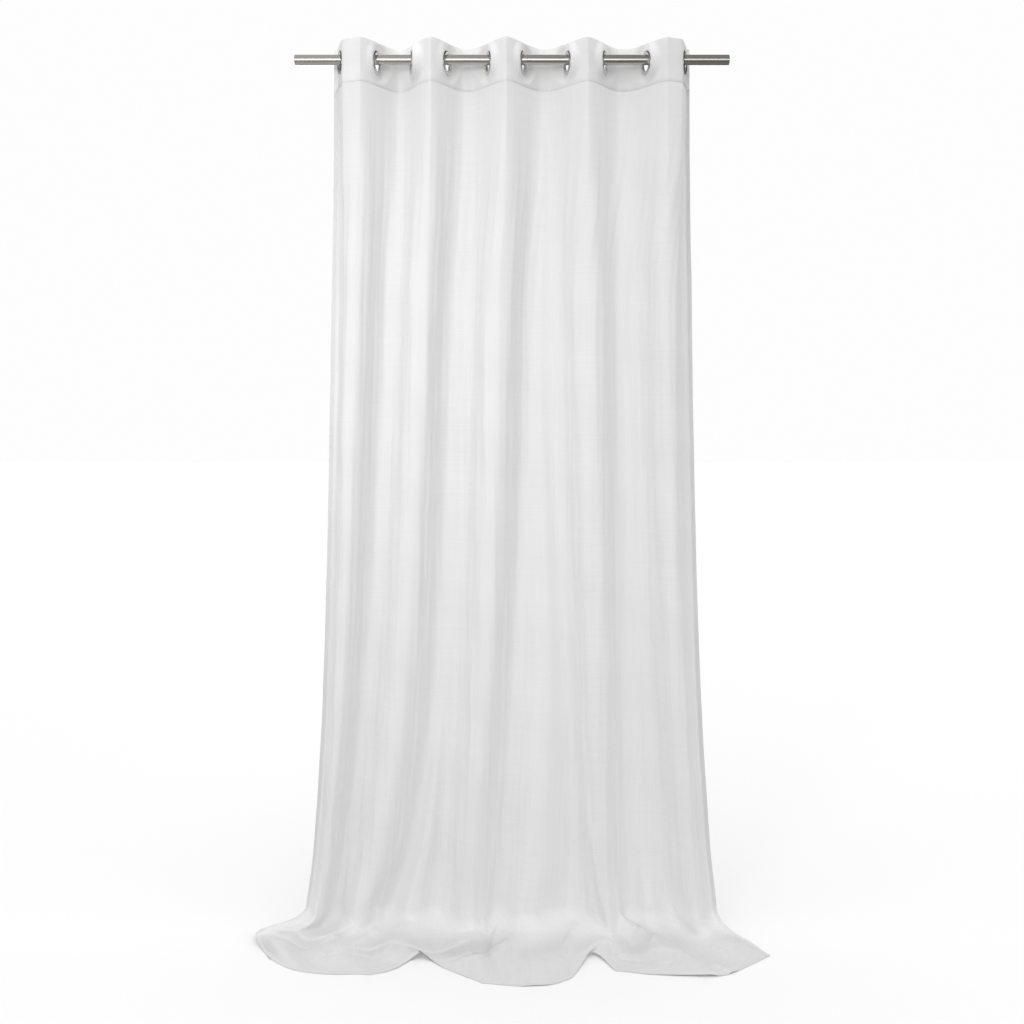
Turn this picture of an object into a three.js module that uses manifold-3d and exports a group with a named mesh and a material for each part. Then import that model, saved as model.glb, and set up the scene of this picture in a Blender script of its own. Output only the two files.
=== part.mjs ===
// A sheer voile eyelet curtain on a plain steel rod, its hem lying loose on the floor.
// Millimetres, +Z up. The origin is the middle of the rod's axis, X runs along the rod, and -Y is the front.

import * as THREE from 'three';
import { mergeVertices } from 'three/addons/utils/BufferGeometryUtils.js';
import Module from 'manifold-3d';

const wasm = await Module();
wasm.setup();

// The rod, the cut cloth and the metal rings.
const ROD = { length: 1055, radius: 12.5, edgeBreak: 0.8, sides: 32 };
const CLOTH = { width: 1450, bandHeight: 105, aboveRod: 40, bandThick: 2, voileThick: 1.5 };
const RING = { hole: 20, outer: 30, flange: 2.4, barrelWall: 2.5, rimSlope: 2, mouthSlope: 2, sides: 20 };
const GAP = 0.3;
const HANG_GAP = 0.5;
const FLOOR_Z = -2127.5;

// Heights that follow from those sizes.
const BAND_TOP = CLOTH.aboveRod;
const BAND_BOTTOM = BAND_TOP - CLOTH.bandHeight;
const RING_Z = -(RING.hole - ROD.radius - HANG_GAP);
const LOWEST_MIDDLE = FLOOR_Z + CLOTH.voileThick / 2;

// The eyelets, set evenly in the flat cloth. x is where each hangs on the rod, and lean is the angle in
// degrees between its cloth and the line from front to back.
const EYELET_PITCH = 151;
const FLAT_HALF = 31;
const EYELETS = [
  { x: -418, lean: 17 },
  { x: -328, lean: 13 },
  { x: -245, lean: 10 },
  { x: -158, lean: 16 },
  { x: -58, lean: 14 },
  { x: 27, lean: 14 },
  { x: 134, lean: 15 },
  { x: 226, lean: 17 },
  { x: 326, lean: 16 },
  { x: 420, lean: 16 },
];

// The heights at which the folds are given, below the rod's axis.
const LEVELS = { rod: 0, chest: -850, knee: -1525, shin: -1930, foot: -2065 };

// One row for each fold line, from left to right: front lines stand towards the room and back lines away.
// The columns are the line's x at each level. A small fold starts inside its back fold, and grows lower down.
const FOLDS = [
  { line: 'left edge', side: 'back', rod: -439, chest: -450, knee: -466, shin: -489, foot: -506 },
  { line: 'flute 1', side: 'front', rod: -364, chest: -387, knee: -411, shin: -446, foot: -470 },
  { line: 'valley 1', side: 'back', rod: -279, chest: -314, knee: -361, shin: -412, foot: -436 },
  { line: 'flute 2', side: 'front', rod: -195, chest: -224, knee: -263, shin: -320, foot: -368 },
  { line: 'valley 2 left', side: 'back', rod: -118, chest: -153, knee: -186, shin: -246, foot: -296 },
  { line: 'small fold 2', side: 'small', rod: -110, chest: -141, knee: -168, shin: -215, foot: -243 },
  { line: 'valley 2 right', side: 'back', rod: -102, chest: -129, knee: -150, shin: -178, foot: -190 },
  { line: 'flute 3', side: 'front', rod: -14, chest: -41, knee: -65, shin: -95, foot: -100 },
  { line: 'valley 3 left', side: 'back', rod: 72, chest: 46, knee: 7, shin: -18, foot: -32 },
  { line: 'small fold 3', side: 'small', rod: 80, chest: 72, knee: 76, shin: 52, foot: 30 },
  { line: 'valley 3 right', side: 'back', rod: 88, chest: 98, knee: 136, shin: 140, foot: 130 },
  { line: 'flute 4', side: 'front', rod: 181, chest: 186, knee: 198, shin: 212, foot: 234 },
  { line: 'valley 4 left', side: 'back', rod: 266, chest: 279, knee: 291, shin: 298, foot: 296 },
  { line: 'small fold 4', side: 'small', rod: 275, chest: 291, knee: 309, shin: 328, foot: 336 },
  { line: 'valley 4 right', side: 'back', rod: 284, chest: 303, knee: 327, shin: 356, foot: 380 },
  { line: 'flute 5', side: 'front', rod: 373, chest: 372, knee: 396, shin: 430, foot: 446 },
  { line: 'right edge', side: 'back', rod: 438, chest: 448, knee: 465, shin: 489, foot: 503 },
];

// How far each small fold stands forward at each level, from 1 for the back of the folds to -1 for the front.
const SMALL_FOLD_DEPTH = {
  'small fold 2': { rod: 1, chest: 1, knee: 0.95, shin: 0.4, foot: -0.1 },
  'small fold 3': { rod: 1, chest: 0.85, knee: 0.35, shin: -0.35, foot: -0.55 },
  'small fold 4': { rod: 1, chest: 1, knee: 0.95, shin: 0.8, foot: 0.2 },
};

// Where the same lines lie on the floor, halfway and at the hem. high is how far the cloth is lifted there.
const LYING = [
  { line: 'left edge', halfway: { x: -618, y: -20, high: 8 }, hem: { x: -566, y: -124, high: 0 } },
  { line: 'flute 1', halfway: { x: -560, y: -78, high: 28 }, hem: { x: -504, y: -177, high: 0 } },
  { line: 'valley 1', halfway: { x: -484, y: -92, high: 5 }, hem: { x: -436, y: -199, high: 0 } },
  { line: 'flute 2', halfway: { x: -425, y: -100, high: 24 }, hem: { x: -372, y: -202, high: 0 } },
  { line: 'valley 2 left', halfway: { x: -330, y: -98, high: 6 }, hem: { x: -284, y: -190, high: 0 } },
  { line: 'small fold 2', halfway: { x: -262, y: -92, high: 22 }, hem: { x: -214, y: -126, high: 14 } },
  { line: 'valley 2 right', halfway: { x: -190, y: -98, high: 8 }, hem: { x: -160, y: -168, high: 0 } },
  { line: 'flute 3', halfway: { x: -108, y: -94, high: 26 }, hem: { x: -70, y: -236, high: 0 } },
  { line: 'valley 3 left', halfway: { x: -38, y: -112, high: 4 }, hem: { x: -6, y: -254, high: 0 } },
  { line: 'small fold 3', halfway: { x: 22, y: -112, high: 18 }, hem: { x: 50, y: -256, high: 3 } },
  { line: 'valley 3 right', halfway: { x: 120, y: -112, high: 4 }, hem: { x: 130, y: -224, high: 0 } },
  { line: 'flute 4', halfway: { x: 222, y: -86, high: 28 }, hem: { x: 187, y: -120, high: 16 } },
  { line: 'valley 4 left', halfway: { x: 284, y: -98, high: 4 }, hem: { x: 246, y: -184, high: 0 } },
  { line: 'small fold 4', halfway: { x: 356, y: -80, high: 22 }, hem: { x: 430, y: -213, high: 4 } },
  { line: 'valley 4 right', halfway: { x: 424, y: -64, high: 4 }, hem: { x: 486, y: -204, high: 0 } },
  { line: 'flute 5', halfway: { x: 494, y: -62, high: 16 }, hem: { x: 548, y: -158, high: 0 } },
  { line: 'right edge', halfway: { x: 560, y: -30, high: 4 }, hem: { x: 603, y: -110, high: 0 } },
];

// How the heading bends: soft creases at the front, and rounder turns at the back. Handles are curve handles.
const HEADING = {
  creaseAngle: 38,
  frontHandle: 9,
  backHandle: 14,
  flatHandle: 9,
  edgeY: 43,
  shallow: 43,
  deep: 55,
};
const HEADING_FADE = 520;
const FOLD_HANDLE = { top: 0.66, bottom: 0.46 };
const DEEPEST_FOLD = 90;

// How finely the cloth is divided: steps across each part of a wall, heights, and steps along the floor.
const STEPS = { front: 3, flat: 2, back: 2, valleyFloor: 3 };
const HANGING_Z = [
  -105, -160, -230, -320, -430, -600, -850, -1100, -1325, -1525, -1690, -1830, -1930, -2005, LEVELS.foot,
];
const LANDING_STEPS = 5;
const HEM_STEPS = 4;
const LANDING_DROP = 150;
const LANDING_REACH = 0.5;

// How closely sizes are solved, how near two points count as one, and how long the hole cutters are.
const HALVINGS = 40;
const SAME_POINT = 1e-4;
const CUTTER_LENGTH = CLOTH.bandThick * 6;

const rad = THREE.MathUtils.degToRad;
const clamp01 = (t) => Math.min(1, Math.max(0, t));
const smooth = (t) => clamp01(t) ** 2 * (3 - 2 * clamp01(t));
const mix = (a, b, t) => a + (b - a) * t;
const point = (x, y) => new THREE.Vector2(x, y);

function bezier(a, b, c, d, t) {
  return new THREE.CubicBezierCurve(a, b, c, d).getPoint(t);
}

function lengthOf(points) {
  return points.slice(1).reduce((sum, p, i) => sum + p.distanceTo(points[i]), 0);
}

// Halves a range until size(value) meets the target; size grows with value.
function solve(low, high, target, size) {
  for (let i = 0; i < HALVINGS; i += 1) {
    const middle = (low + high) / 2;
    if (size(middle) < target) low = middle;
    else high = middle;
  }
  return (low + high) / 2;
}

// The spans between neighbouring fold lines. A span between a front and a back line holds an eyelet.
const SPANS = [];
for (let i = 0; i < FOLDS.length - 1; i += 1) {
  const isWall = (FOLDS[i].side === 'front') !== (FOLDS[i + 1].side === 'front');
  const eyelet = isWall ? SPANS.filter((s) => s.isWall).length : null;
  SPANS.push({ left: i, right: i + 1, isWall, eyelet });
}

// Where the cloth runs through an eyelet: its middle, and the unit direction from front to back.
function ringLine(span) {
  const { x, lean } = EYELETS[span.eyelet];
  const backIsRight = FOLDS[span.left].side === 'front';
  const towards = backIsRight ? 1 : -1;
  return { x, towards, back: point(towards * Math.sin(rad(lean)), Math.cos(rad(lean))) };
}

// One wall of the heading, from its front line to its back line: a bend, a flat part around the ring, a bend.
function headingWall(span, frontY, backY, backX) {
  const { x, towards, back } = ringLine(span);
  const frontLine = FOLDS[towards === 1 ? span.left : span.right];
  const front = point(frontLine.rod, frontY);
  const flatFront = point(x, 0).addScaledVector(back, -FLAT_HALF);
  const flatBack = point(x, 0).addScaledVector(back, FLAT_HALF);
  const crease = point(towards * Math.cos(rad(HEADING.creaseAngle)), Math.sin(rad(HEADING.creaseAngle)));
  const rear = point(backX, backY);
  const frontHandle = front.clone().addScaledVector(crease, HEADING.frontHandle);
  const flatFrontHandle = flatFront.clone().addScaledVector(back, -HEADING.flatHandle);
  const flatBackHandle = flatBack.clone().addScaledVector(back, HEADING.flatHandle);
  const rearHandle = rear.clone().add(point(-towards * HEADING.backHandle, 0));
  const points = [];
  for (let i = 0; i < STEPS.front; i += 1) {
    points.push(bezier(front, frontHandle, flatFrontHandle, flatFront, i / STEPS.front));
  }
  for (let i = 0; i < STEPS.flat; i += 1) {
    points.push(flatFront.clone().lerp(flatBack, i / STEPS.flat));
  }
  for (let i = 0; i <= STEPS.back; i += 1) {
    points.push(bezier(flatBack, flatBackHandle, rearHandle, rear, i / STEPS.back));
  }
  return points;
}

// The depth at which the cloth from one eyelet to the next has the length it was cut to.
function bayDepth(fromSpan, toSpan) {
  const isFront = FOLDS[fromSpan.right].side === 'front';
  const flatAtBack = isFront ? 0 : FOLDS[toSpan.left].rod - FOLDS[fromSpan.right].rod;
  const half = (span, depth) => {
    const backX = FOLDS[FOLDS[span.left].side === 'front' ? span.right : span.left].rod;
    const points = headingWall(span, -depth, depth, backX);
    const middle = STEPS.front + STEPS.flat / 2;
    return lengthOf(isFront ? points.slice(0, middle + 1) : points.slice(middle));
  };
  const bay = (depth) => half(fromSpan, depth) + flatAtBack + half(toSpan, depth);
  return solve(HEADING.shallow, HEADING.deep, EYELET_PITCH, bay);
}

// The depth of every fold line at the heading.
const WALLS = SPANS.filter((s) => s.isWall);
const HEADING_Y = FOLDS.map(() => HEADING.edgeY);
for (let i = 0; i < WALLS.length - 1; i += 1) {
  const depth = bayDepth(WALLS[i], WALLS[i + 1]);
  const isFront = FOLDS[WALLS[i].right].side === 'front';
  for (let k = WALLS[i].right; k <= WALLS[i + 1].left; k += 1) HEADING_Y[k] = isFront ? -depth : depth;
}

// The heading seen from above, as one line of points from the left edge to the right.
function headingSection() {
  const section = [point(FOLDS[0].rod, HEADING_Y[0])];
  for (const span of SPANS) {
    const leftIsFront = FOLDS[span.left].side === 'front';
    let points;
    if (span.isWall) {
      const [front, rear] = leftIsFront ? [span.left, span.right] : [span.right, span.left];
      points = headingWall(span, HEADING_Y[front], HEADING_Y[rear], FOLDS[rear].rod);
      if (!leftIsFront) points.reverse();
    } else {
      const from = point(FOLDS[span.left].rod, HEADING_Y[span.left]);
      const to = point(FOLDS[span.right].rod, HEADING_Y[span.right]);
      points = [0, ...columnsIn(span)].map((t) => from.clone().lerp(to, t));
    }
    section.push(...points.slice(1));
  }
  return section;
}

// A value between the places i and i + 1, on one smooth curve through the values given at all the places.
function curveThrough(places, values, i, at) {
  const slope = (k) => {
    const a = Math.max(0, k - 1);
    const b = Math.min(places.length - 1, k + 1);
    return (values[b] - values[a]) / (places[b] - places[a]);
  };
  const span = places[i + 1] - places[i];
  const t = clamp01((at - places[i]) / span);
  const bulge = span * t * (1 - t) * ((1 - t) * slope(i) - t * slope(i + 1));
  return mix(values[i], values[i + 1], smooth(t)) + bulge;
}

// A value given at the named levels, at any height between them.
function atHeight(row, z) {
  const heights = Object.values(LEVELS);
  const values = Object.keys(LEVELS).map((name) => row[name]);
  let i = 0;
  while (i < heights.length - 2 && z < heights[i + 1]) i += 1;
  return curveThrough(heights, values, i, z);
}

// The share of the fold depth at which a line lies, -1 at the front and 1 at the back.
function depthShare(fold, z) {
  if (fold.side === 'front') return -1;
  if (fold.side === 'back') return 1;
  return atHeight(SMALL_FOLD_DEPTH[fold.line], z);
}

function stepsIn(span) {
  return span.isWall ? STEPS.front + STEPS.flat + STEPS.back : STEPS.valleyFloor;
}

// Where the columns of a span lie between its two lines, from 0 to 1.
function columnsIn(span) {
  const steps = stepsIn(span);
  return Array.from({ length: steps }, (_, i) => (i + 1) / steps);
}

// The folds below the heading, seen from above at one height.
function foldSection(z) {
  const handle = mix(FOLD_HANDLE.top, FOLD_HANDLE.bottom, smooth(z / LEVELS.foot));
  const lines = FOLDS.map((fold) => ({ x: atHeight(fold, z), share: depthShare(fold, z) }));
  const build = (depth) => {
    const section = [point(lines[0].x, lines[0].share * depth)];
    for (const span of SPANS) {
      const from = point(lines[span.left].x, lines[span.left].share * depth);
      const to = point(lines[span.right].x, lines[span.right].share * depth);
      const reach = point((to.x - from.x) * handle, 0);
      for (const t of columnsIn(span)) {
        section.push(bezier(from, from.clone().add(reach), to.clone().sub(reach), to, t));
      }
    }
    return section;
  };
  return build(solve(0, DEEPEST_FOLD, CLOTH.width, (depth) => lengthOf(build(depth))));
}

// The cloth seen from above at one height: the heading's shape at the top, easing into the folds below it.
function sectionAt(z) {
  const heading = headingSection();
  const folds = foldSection(z);
  const eased = smooth((BAND_BOTTOM - z) / HEADING_FADE);
  return heading.map((p, i) => {
    const place = p.clone().lerp(folds[i], eased);
    return new THREE.Vector3(place.x, place.y, z);
  });
}

// One place of the lying cloth for every column, from the table of lines.
function lyingRow(place) {
  const lines = LYING.map((row) => row[place]);
  const places = lines.map((line) => line.x);
  const depths = lines.map((line) => line.y);
  const start = lines[0];
  const row = [new THREE.Vector3(start.x, start.y, FLOOR_Z + start.high)];
  for (const span of SPANS) {
    const from = lines[span.left];
    const to = lines[span.right];
    for (const t of columnsIn(span)) {
      const x = mix(from.x, to.x, t);
      const y = curveThrough(places, depths, span.left, x);
      row.push(new THREE.Vector3(x, y, FLOOR_Z + mix(from.high, to.high, smooth(t))));
    }
  }
  return row;
}

function hermite(p, q, pDirection, qDirection, t) {
  const rise = t * t * (3 - 2 * t);
  return p.clone().lerp(q, rise)
    .addScaledVector(pDirection, t * (1 - t) ** 2)
    .addScaledVector(qDirection, -t * t * (1 - t));
}

function aboveFloor(p) {
  p.z = Math.max(p.z, LOWEST_MIDDLE);
  return p;
}

// The cloth from the foot of the folds to the hem: down to the floor, over it, and out to the hem.
function floorRows(foot) {
  const halfway = lyingRow('halfway');
  const hem = lyingRow('hem');
  const down = new THREE.Vector3(0, 0, -LANDING_DROP);
  const onward = foot.map((p, j) => hem[j].clone().sub(p).setZ(0).multiplyScalar(LANDING_REACH));
  const rows = [];
  for (let i = 1; i <= LANDING_STEPS; i += 1) {
    const t = i / LANDING_STEPS;
    rows.push(foot.map((p, j) => aboveFloor(hermite(p, halfway[j], down, onward[j], t))));
  }
  for (let i = 1; i <= HEM_STEPS; i += 1) {
    const t = i / HEM_STEPS;
    rows.push(halfway.map((p, j) => {
      const ending = hem[j].clone().sub(p).setZ(0);
      return aboveFloor(hermite(p, hem[j], onward[j], ending, t));
    }));
  }
  return rows;
}

// A closed sheet of one thickness around a grid of points, with rows from the top down.
function sheet(rows, thickness) {
  const height = rows.length;
  const width = rows[0].length;
  const at = (i, j) => rows[Math.min(height - 1, Math.max(0, i))][Math.min(width - 1, Math.max(0, j))];
  const positions = [];
  for (const side of [-1, 1]) {
    for (let i = 0; i < height; i += 1) {
      for (let j = 0; j < width; j += 1) {
        const across = at(i, j + 1).clone().sub(at(i, j - 1));
        const down = at(i + 1, j).clone().sub(at(i - 1, j));
        const normal = down.cross(across).normalize();
        const p = at(i, j).clone().addScaledVector(normal, side * thickness / 2);
        positions.push(p.x, p.y, p.z);
      }
    }
  }
  const index = [];
  const id = (side, i, j) => side * height * width + i * width + j;
  const quad = (a, b, c, d) => index.push(a, b, c, a, c, d);
  for (let i = 0; i < height - 1; i += 1) {
    for (let j = 0; j < width - 1; j += 1) {
      quad(id(1, i, j), id(1, i + 1, j), id(1, i + 1, j + 1), id(1, i, j + 1));
      quad(id(0, i, j), id(0, i, j + 1), id(0, i + 1, j + 1), id(0, i + 1, j));
    }
  }
  for (let j = 0; j < width - 1; j += 1) {
    quad(id(0, 0, j), id(1, 0, j), id(1, 0, j + 1), id(0, 0, j + 1));
    quad(id(0, height - 1, j + 1), id(1, height - 1, j + 1), id(1, height - 1, j), id(0, height - 1, j));
  }
  for (let i = 0; i < height - 1; i += 1) {
    quad(id(0, i + 1, 0), id(1, i + 1, 0), id(1, i, 0), id(0, i, 0));
    quad(id(0, i, width - 1), id(1, i, width - 1), id(1, i + 1, width - 1), id(0, i + 1, width - 1));
  }
  const geometry = new THREE.BufferGeometry();
  geometry.setAttribute('position', new THREE.Float32BufferAttribute(positions, 3));
  geometry.setIndex(index);
  geometry.computeVertexNormals();
  return geometry;
}

function toSolid(geometry) {
  const bare = geometry.clone();
  bare.deleteAttribute('normal');
  bare.deleteAttribute('uv');
  const merged = mergeVertices(bare, SAME_POINT);
  return new wasm.Manifold(new wasm.Mesh({
    numProp: 3,
    vertProperties: new Float32Array(merged.attributes.position.array),
    triVerts: new Uint32Array(merged.index.array),
  }));
}

function fromSolid(solid) {
  const { vertProperties, triVerts } = solid.getMesh();
  const geometry = new THREE.BufferGeometry();
  geometry.setAttribute('position', new THREE.BufferAttribute(new Float32Array(vertProperties), 3));
  geometry.setIndex(new THREE.BufferAttribute(new Uint32Array(triVerts), 1));
  geometry.computeVertexNormals();
  return geometry;
}

// A ring or its hole is made round Y, then turned about Z so that its axis is square to the cloth.
function turnToCloth(geometry, span) {
  const { x, back } = ringLine(span);
  return geometry.rotateZ(Math.atan2(back.y, back.x)).translate(x, 0, RING_Z);
}

function bandWithHoles() {
  const section = headingSection();
  const rows = [BAND_TOP, BAND_BOTTOM].map((z) => section.map((p) => new THREE.Vector3(p.x, p.y, z)));
  const cutRadius = RING.hole + RING.barrelWall + GAP;
  let band = toSolid(sheet(rows, CLOTH.bandThick));
  for (const span of WALLS) {
    const cutter = new THREE.CylinderGeometry(cutRadius, cutRadius, CUTTER_LENGTH, RING.sides);
    band = band.subtract(toSolid(turnToCloth(cutter, span)));
  }
  return fromSolid(band);
}

// A two-part ring pressed together: a barrel through the hole, and a rounded flange on each face of the band.
function eyelet(span) {
  const grip = CLOTH.bandThick / 2 + GAP;
  const face = grip + RING.flange;
  const mouth = face - RING.mouthSlope;
  const barrel = RING.hole + RING.barrelWall;
  const profile = [
    [RING.hole, mouth],
    [RING.hole, -mouth],
    [barrel, -face],
    [RING.outer - RING.rimSlope, -face],
    [RING.outer, -grip],
    [barrel, -grip],
    [barrel, grip],
    [RING.outer, grip],
    [RING.outer - RING.rimSlope, face],
    [barrel, face],
    [RING.hole, mouth],
  ].map(([r, y]) => point(r, y));
  return turnToCloth(new THREE.LatheGeometry(profile, RING.sides), span);
}

function rodBar() {
  const half = ROD.length / 2;
  const profile = [
    point(0, -half),
    point(ROD.radius - ROD.edgeBreak, -half),
    point(ROD.radius, -half + ROD.edgeBreak),
    point(ROD.radius, half - ROD.edgeBreak),
    point(ROD.radius - ROD.edgeBreak, half),
    point(0, half),
  ];
  return new THREE.LatheGeometry(profile, ROD.sides).rotateZ(-Math.PI / 2);
}

const steel = new THREE.MeshStandardMaterial({ color: 0x9a948c, roughness: 0.32, metalness: 1 });
const silver = new THREE.MeshStandardMaterial({ color: 0xb4b4b2, roughness: 0.25, metalness: 1 });
const heading = new THREE.MeshStandardMaterial({ color: 0xf2f2f0, roughness: 0.9, metalness: 0 });
const voile = new THREE.MeshStandardMaterial({ color: 0xf4f4f3, roughness: 0.95, metalness: 0 });

const curtain = new THREE.Group();

function add(name, geometry, material) {
  const mesh = new THREE.Mesh(geometry, material);
  mesh.name = name;
  curtain.add(mesh);
}

const hanging = [BAND_BOTTOM - GAP, ...HANGING_Z].map(sectionAt);
const panelRows = [...hanging, ...floorRows(hanging.at(-1))];

add('rod', rodBar(), steel);
add('heading_band', bandWithHoles(), heading);
add('voile_panel', sheet(panelRows, CLOTH.voileThick), voile);
WALLS.forEach((span, i) => add(`eyelet_${String(i + 1).padStart(2, '0')}`, eyelet(span), silver));

export default curtain;
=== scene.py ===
import math

import bpy
import numpy as np
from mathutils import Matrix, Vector


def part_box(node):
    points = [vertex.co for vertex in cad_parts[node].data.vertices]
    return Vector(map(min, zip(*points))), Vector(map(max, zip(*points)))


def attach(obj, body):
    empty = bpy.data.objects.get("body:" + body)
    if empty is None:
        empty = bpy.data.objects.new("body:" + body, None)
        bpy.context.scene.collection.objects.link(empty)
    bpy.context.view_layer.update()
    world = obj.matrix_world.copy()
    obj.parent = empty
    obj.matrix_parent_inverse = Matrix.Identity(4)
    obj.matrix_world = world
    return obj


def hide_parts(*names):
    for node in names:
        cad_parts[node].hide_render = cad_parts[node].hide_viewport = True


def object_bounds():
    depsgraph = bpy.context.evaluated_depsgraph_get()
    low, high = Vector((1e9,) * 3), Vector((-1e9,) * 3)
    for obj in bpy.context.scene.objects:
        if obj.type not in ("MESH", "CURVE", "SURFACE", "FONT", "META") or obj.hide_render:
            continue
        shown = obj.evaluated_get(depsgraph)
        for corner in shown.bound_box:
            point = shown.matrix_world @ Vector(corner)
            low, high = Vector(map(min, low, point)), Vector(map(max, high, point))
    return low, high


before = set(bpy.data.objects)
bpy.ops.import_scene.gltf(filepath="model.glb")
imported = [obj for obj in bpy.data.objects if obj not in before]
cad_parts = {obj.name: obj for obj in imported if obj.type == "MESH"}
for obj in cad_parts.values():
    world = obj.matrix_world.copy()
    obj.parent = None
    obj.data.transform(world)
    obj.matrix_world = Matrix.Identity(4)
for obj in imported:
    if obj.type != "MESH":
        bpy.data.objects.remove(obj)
cad_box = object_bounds()

# The room. The curtain is seen level and square on from the room, by a lens a little above its middle height.
# The floor and the walls are white, most light comes from above, and a soft lamp at the left lights the top.

CAMERA_AWAY = 2.843
CAMERA_HEIGHT = -0.868
LENS_MM = 41.1
HORIZON_SHIFT = -0.0928
FLOOR_HALF_WIDTH = 30.0
FLOOR_CLEARANCE = 0.0003
FLOOR_WHITE = (0.838, 0.838, 0.838, 1)
FLOOR_GLOW = 0.02
BACKGROUND_STRENGTH = 0.985
LIGHT_FROM_ABOVE = 1.26
LIGHT_FROM_BELOW = 0.03
HORIZON_BLEND = 0.25
SHARE_FROM_FRONT = 1.16
SHARE_FROM_BEHIND = 0.72
DEPTH_BLEND = 0.6
KEY_PLACE = (-1.1, -2.5, -0.1)
KEY_AIM = (-0.40, 0.0, -0.62)
KEY_SIZE = 0.9
KEY_SPREAD = math.radians(58)
KEY_WATTS = 3.6

# What polished metal mirrors: the brightness of the room at each height, in degrees above the horizon.
MIRRORED_ROOM = [
    (-90, 0.42),
    (-52, 0.50),
    (-40, 0.07),
    (-22, 0.07),
    (-14, 3.2),
    (4, 3.2),
    (12, 0.42),
    (60, 0.50),
    (90, 0.45),
]
MIRRORED_SIDE = 0.25
MIRRORED_LEFT = 1.2
MIRRORED_RIGHT = 0.5
DARK_ENDS = (0.35, 0.70)
DARK_ENDS_SHARE = 0.12

camera = bpy.data.objects.new("camera", bpy.data.cameras.new("camera"))
camera.location = (0, -CAMERA_AWAY, CAMERA_HEIGHT)
camera.rotation_euler = (math.pi / 2, 0, 0)
camera.data.lens = LENS_MM
camera.data.shift_y = HORIZON_SHIFT
bpy.context.scene.collection.objects.link(camera)
bpy.context.scene.camera = camera
bpy.context.scene.view_settings.view_transform = "Standard"

world = bpy.data.worlds.new("white_room")
world.use_nodes = True
room = world.node_tree
room.nodes.clear()
direction = room.nodes.new("ShaderNodeTexCoord")
parts = room.nodes.new("ShaderNodeSeparateXYZ")
room.links.new(direction.outputs["Generated"], parts.inputs[0])


def room_value(operation, *sources):
    node = room.nodes.new("ShaderNodeMath")
    node.operation = operation
    for source, socket in zip(sources, node.inputs):
        room.links.new(source, socket)
    return node.outputs[0]


elevation = room_value("ARCTAN2", parts.outputs["Z"], room_value("ABSOLUTE", parts.outputs["Y"]))
height = room.nodes.new("ShaderNodeMapRange")
height.inputs["From Min"].default_value = -math.pi / 2
height.inputs["From Max"].default_value = math.pi / 2
room.links.new(elevation, height.inputs["Value"])
mirrored = room.nodes.new("ShaderNodeFloatCurve")
curve = mirrored.mapping.curves[0]
brightest = max(value for _, value in MIRRORED_ROOM)
for _ in range(len(MIRRORED_ROOM) - 2):
    curve.points.new(0.5, 0.5)
for point, (degrees, value) in zip(curve.points, MIRRORED_ROOM):
    point.location = ((degrees + 90) / 180, value / brightest)
    point.handle_type = "VECTOR"
mirrored.mapping.update()
room.links.new(height.outputs[0], mirrored.inputs["Value"])
rays = room.nodes.new("ShaderNodeLightPath")


def room_light(strength):
    light = room.nodes.new("ShaderNodeBackground")
    light.inputs["Color"].default_value = (1, 1, 1, 1)
    light.inputs["Strength"].default_value = strength
    return light


def choose_light(ray, light, otherwise):
    choice = room.nodes.new("ShaderNodeMixShader")
    room.links.new(rays.outputs[ray], choice.inputs["Fac"])
    room.links.new(otherwise.outputs[0], choice.inputs[1])
    room.links.new(light.outputs[0], choice.inputs[2])
    return choice


def graded(source, low, high, at_low, at_high):
    """A value that eases from one to another while its source runs from low to high."""
    grade = room.nodes.new("ShaderNodeMapRange")
    grade.interpolation_type = "SMOOTHSTEP"
    ends = {"From Min": low, "From Max": high, "To Min": at_low, "To Max": at_high}
    for label, value in ends.items():
        grade.inputs[label].default_value = value
    room.links.new(source, grade.inputs["Value"])
    return grade.outputs[0]


def graded_light(strength, share):
    light = room_light(1.0)
    room.links.new(strength, light.inputs["Strength"])
    room.links.new(share, light.inputs["Color"])
    return light


left_light, right_light = MIRRORED_LEFT * brightest, MIRRORED_RIGHT * brightest
across = graded(parts.outputs["X"], -MIRRORED_SIDE, MIRRORED_SIDE, left_light, right_light)
ends = graded(room_value("ABSOLUTE", parts.outputs["X"]), *DARK_ENDS, 1, DARK_ENDS_SHARE)
up = graded(parts.outputs["Z"], -HORIZON_BLEND, HORIZON_BLEND, LIGHT_FROM_BELOW, LIGHT_FROM_ABOVE)
away = graded(parts.outputs["Y"], -DEPTH_BLEND, DEPTH_BLEND, SHARE_FROM_FRONT, SHARE_FROM_BEHIND)
glossy = graded_light(room_value("MULTIPLY", across, ends), mirrored.outputs[0])
ambient = graded_light(up, away)
lit = choose_light("Is Glossy Ray", glossy, ambient)
lit = choose_light("Is Camera Ray", room_light(BACKGROUND_STRENGTH), lit)
room_output = room.nodes.new("ShaderNodeOutputWorld")
room.links.new(lit.outputs[0], room_output.inputs["Surface"])
bpy.context.scene.world = world

key = bpy.data.objects.new("key_light", bpy.data.lights.new("key_light", "AREA"))
key.data.shape = "DISK"
key.data.size = KEY_SIZE
key.data.spread = KEY_SPREAD
key.data.energy = KEY_WATTS
key.location = KEY_PLACE
key.rotation_euler = (Vector(KEY_AIM) - Vector(KEY_PLACE)).to_track_quat("-Z", "Y").to_euler()
key.visible_glossy = False
bpy.context.scene.collection.objects.link(key)

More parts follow.
